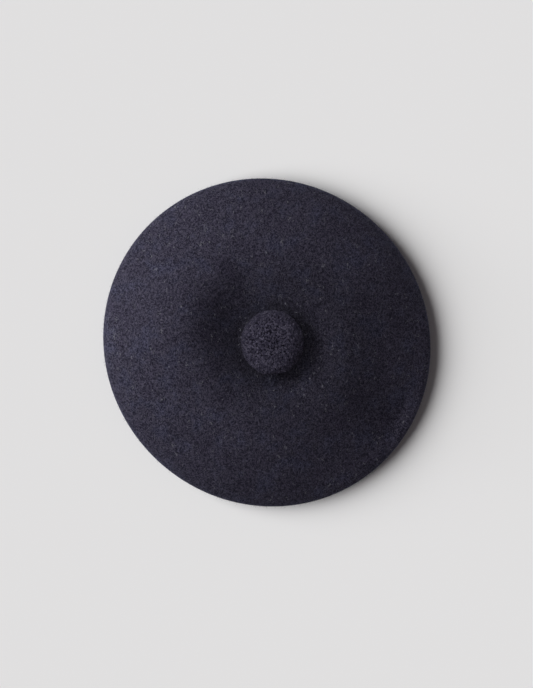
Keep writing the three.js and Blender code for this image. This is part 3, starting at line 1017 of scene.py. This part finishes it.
def stitch_model(name, length):
    """One stitch: a plump run of thread that bows out and goes in at both ends."""
    radius = THREAD / 2
    sunk = 0.5 * MM
    profile = [(radius * 0.5, 0), (radius * 0.9, length * 0.08), (radius, length * 0.3),
               (radius, length * 0.7), (radius * 0.9, length * 0.92), (radius * 0.5, length)]
    piece = revolve(name, profile, 8, close_start=True, close_end=True)
    for vertex in piece.data.vertices:
        share = vertex.co.z / length
        vertex.co.y -= sunk * (2 * share - 1) ** 4
        vertex.co.z -= length / 2
    return piece


def stitch_row(name, length, spots, node):
    """Stitches at (place, along, out): each bows towards out."""
    places = []
    for place, along, out in spots:
        side = out.cross(along).normalized()
        turn = Matrix((side, along.cross(side).normalized(), along)).transposed()
        places.append(Matrix.Translation(place) @ turn.to_4x4())
    piece = copies(name, [stitch_model(name + "_model", length)], places, seed=2)
    settle_in(piece, twisted_thread(), "hat", "sewing_thread", node)


def inwards(turn):
    """The way from the band to the middle of the head, at a turn round it."""
    return Vector((-math.cos(turn), -math.sin(turn), 0))


def round_the_head(turn):
    """The way along the band at a turn round the head."""
    return Vector((-math.sin(turn), math.cos(turn), 0))


def hem_stitches():
    """Stitches all round the hem, each set a little askew."""
    low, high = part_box("hem_seam")
    z = (low[2] + high[2]) / 2
    draw = random.Random(21)
    spots = []
    for i in range(HEM_STITCHES):
        turn = 2 * math.pi * i / HEM_STITCHES
        tilt = UP * draw.gauss(0, 0.05)
        spots.append((on_ring(SEAM_RADIUS, turn, z + draw.gauss(0, 0.08 * MM)),
                      (round_the_head(turn) + tilt).normalized(), inwards(turn)))
    stitch_row("hem_stitches", HEM_STITCH, spots, "hem_seam")


def upright_stitches(name, node):
    """A short upright row of stitches that stands for one thread."""
    low, high = (Vector(corner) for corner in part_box(node))
    middle = (low + high) / 2
    turn = math.atan2(middle.y, middle.x)
    radius = math.hypot(middle.x, middle.y)
    pitch = (high.z - low.z) / ROW_STITCHES
    spots = [(on_ring(radius, turn, low.z + pitch * (i + 0.5)), UP, inwards(turn))
             for i in range(ROW_STITCHES)]
    stitch_row(name, pitch * 0.78, spots, node)


def care_stitches():
    """Whip stitches over the folded label's sewn edge."""
    low, high = (Vector(corner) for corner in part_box("care_label_stitch"))
    middle = (low + high) / 2
    drop = 0.9 * MM
    proud = 0.15 * MM
    slant = 0.35
    along = round_the_head(CARE_TURN)
    spots = []
    for i in range(CARE_STITCHES):
        share = (i + 0.5) / CARE_STITCHES - 0.5
        place = Vector((middle.x, middle.y, middle.z - drop))
        place += along * CARE_SEAM * share + inwards(CARE_TURN) * proud
        spots.append((place, (UP + along * slant).normalized(), inwards(CARE_TURN)))
    stitch_row("care_label_stitches", CARE_STITCH, spots, "care_label_stitch")


# ---- The sweatband and the labels

def sweatband():
    """One strip of ribbed ribbon, its outer end tucked behind the inner one."""
    low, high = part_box("sweatband")
    lap = RIBBON_LAP / HEAD_RADIUS
    total = 2 * math.pi + lap
    ease = LAP_EASE * lap
    columns = 4 * round(total * HEAD_RADIUS / RIB_PITCH)
    points = []
    for i in range(columns + 1):
        turn = total * i / columns
        tuck = (RIBBON + GAP) * smooth(total - lap - ease, total - lap, turn)
        ribbed = RIB_DEPTH * math.sin(i * math.pi / 2)
        radius = HEAD_RADIUS + tuck + RIBBON / 2 + ribbed
        points.append(on_ring(radius, JOIN_TURN + turn, (low[2] + high[2]) / 2))
    piece = sheet_along("sweatband_ribbon", points, UP * (high[2] - low[2]), 10,
                        RIBBON - 2 * RIB_DEPTH)
    settle_in(piece, ribbed_ribbon(), "hat", "ribbon", "sweatband")


def back_label():
    """A woven label on the sweatband, its two ends turned in behind it."""
    low, high = (Vector(corner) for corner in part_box("back_label"))
    outer = HEAD_RADIUS - GAP
    inner = outer - 0.5 * MM
    front = inner + BACK_LABEL_CLOTH / 2
    behind = outer - BACK_LABEL_CLOTH / 2
    half_turn = BACK_LABEL / outer / 2
    tuck = TURNED_IN / outer
    middle_radius = (front + behind) / 2
    bend = (behind - front) / 2
    points = [(behind, BACK - half_turn + tuck * (1 - i / 8)) for i in range(8)]
    points += [(middle_radius + bend * math.cos(math.pi * i / 6),
                BACK - half_turn - bend * math.sin(math.pi * i / 6) / outer) for i in range(7)]
    points += [(front, BACK - half_turn + 2 * half_turn * i / 60) for i in range(1, 60)]
    points += [(middle_radius - bend * math.cos(math.pi * i / 6),
                BACK + half_turn + bend * math.sin(math.pi * i / 6) / outer) for i in range(7)]
    points += [(behind, BACK + half_turn - tuck * i / 8) for i in range(1, 9)]
    line = [on_ring(radius, turn, (low.z + high.z) / 2) for radius, turn in points]
    piece = sheet_along("back_damask_label", line, UP * (high.z - low.z), 8, BACK_LABEL_CLOTH)
    material = damask("damask_label", (0.010, 0.011, 0.024), (0.17, 0.17, 0.20), (56, 11, 1))
    settle_in(piece, material, "hat", "woven_label", "back_label")


def care_label():
    """A satin tape folded in two, its ends sewn under the sweatband's upper edge."""
    joint = next(row for row in frame["joints"] if row["name"] == "care_label_flip")
    hinge = Vector(joint["pos_m"])
    low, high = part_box("care_label")
    drop = high[2] - low[2]
    fold_at = drop * 0.97
    layer = 0.3 * MM
    front_bulge = 0.2 * MM
    back_bulge = 0.12 * MM
    curled = 0.9 * MM
    out = -inwards(CARE_TURN)
    line = []
    for i in range(16):
        share = i / 15
        line.append((-layer - front_bulge * math.sin(math.pi * share), -fold_at * share))
    for i in range(1, 8):
        turn = math.pi * i / 8
        line.append((-layer * math.cos(turn), -fold_at - layer * math.sin(turn)))
    for i in range(16):
        share = 1 - i / 15
        line.append((layer + back_bulge * math.sin(math.pi * share), -fold_at * share))
    points = []
    for away, z in line:
        curl = -curled * (z / drop) ** 2
        points.append(hinge + out * (away + curl) + UP * z)
    across = round_the_head(CARE_TURN) * CARE_WIDTH
    piece = sheet_along("care_label_tape", points, across, 10, CARE_CLOTH)
    settle_in(piece, satin_tape(), "care_label", "care_tape", "care_label")


# ---- The set

def paper():
    """The plain pale floor."""
    deselect()
    bpy.ops.mesh.primitive_plane_add(size=PAPER_SIZE, location=(0, 0, -PAPER_DROP))
    piece = name_piece("paper")
    finish = Finish("pale_paper", Base_Color=(0.8, 0.8, 0.8, 1), Roughness=0.9,
                    Specular_IOR_Level=0.0)
    piece.data.materials.append(finish.material)
    return piece


def lamp(name, kind, energy, place, **settings):
    """A light aimed at the beret."""
    deselect()
    bpy.ops.object.light_add(type=kind, location=place)
    light = bpy.context.object
    light.name = name
    light.data.energy = energy
    for key, value in settings.items():
        setattr(light.data, key, value)
    way = AIM - Vector(place)
    light.rotation_euler = way.to_track_quat("-Z", "Y").to_euler()
    return light


def around(azimuth, elevation, distance):
    """A place this far from the middle, at angles round from +X and above the floor."""
    turn, rise = math.radians(azimuth), math.radians(elevation)
    flat = distance * math.cos(rise)
    return (flat * math.cos(turn), flat * math.sin(turn), distance * math.sin(rise))


def camera():
    """A camera straight above, looking down."""
    deselect()
    bpy.ops.object.camera_add(location=(CAMERA_X, CAMERA_Y, CAMERA_HEIGHT), rotation=(0, 0, 0))
    cam = bpy.context.object
    cam.data.sensor_fit = "VERTICAL"
    cam.data.angle = 2 * math.atan(SEEN_HEIGHT / 2 / (CAMERA_HEIGHT - SEEN_AT))
    bpy.context.scene.camera = cam


def light_set(name, pieces, state="INCLUDE"):
    """The pieces that a light touches or, with EXCLUDE, the ones it leaves alone."""
    linked = bpy.data.collections.new(name)
    for i, piece in enumerate(pieces):
        linked.objects.link(piece)
        linked.collection_objects[i].light_linking.link_state = state
    return linked


def studio(pompom):
    """A soft key on the beret, a low light that grazes the felt only, and a sun on the floor.

    The low light misses the pompom, whose shadow it would throw far across the crown."""
    floor = paper()
    key = lamp("key_softbox", "AREA", KEY_POWER, around(*KEY_PLACE),
               shape="RECTANGLE", size=KEY_SIZE, size_y=KEY_SIZE)
    low = lamp("low_softbox", "AREA", LOW_POWER, around(*LOW_PLACE),
               shape="RECTANGLE", size=LOW_WIDTH, size_y=LOW_TALL)
    sun = lamp("floor_key", "SUN", SUN_POWER, around(*SUN_PLACE), angle=SUN_SPREAD)
    sun.light_linking.receiver_collection = light_set("lit_paper", [floor])
    key.light_linking.receiver_collection = light_set("lit_beret", [floor], "EXCLUDE")
    felt_only = light_set("lit_felt", [floor, *pompom], "EXCLUDE")
    low.light_linking.receiver_collection = felt_only
    low.light_linking.blocker_collection = felt_only
    world = bpy.data.worlds.new("studio_air")
    world.use_nodes = True
    air = world.node_tree.nodes["Background"]
    air.inputs["Color"].default_value = AIR_COLOUR
    air.inputs["Strength"].default_value = AIR_POWER
    bpy.context.scene.world = world
    bpy.context.scene.view_settings.view_transform = "Standard"


# ---- Making it all

camera()
stray_nap(wool_shell())
studio([pompom_pile(), pompom_heart()])
pompom_tie()
thread_neck()
stay_patch()
stay_button()
anchor_stitches()
sweatband()
hem_stitches()
upright_stitches("band_join_stitches", "band_join_stitch")
back_label()
upright_stitches("back_label_stitches_left", "back_label_stitch_left")
upright_stitches("back_label_stitches_right", "back_label_stitch_right")
care_label()
care_stitches()
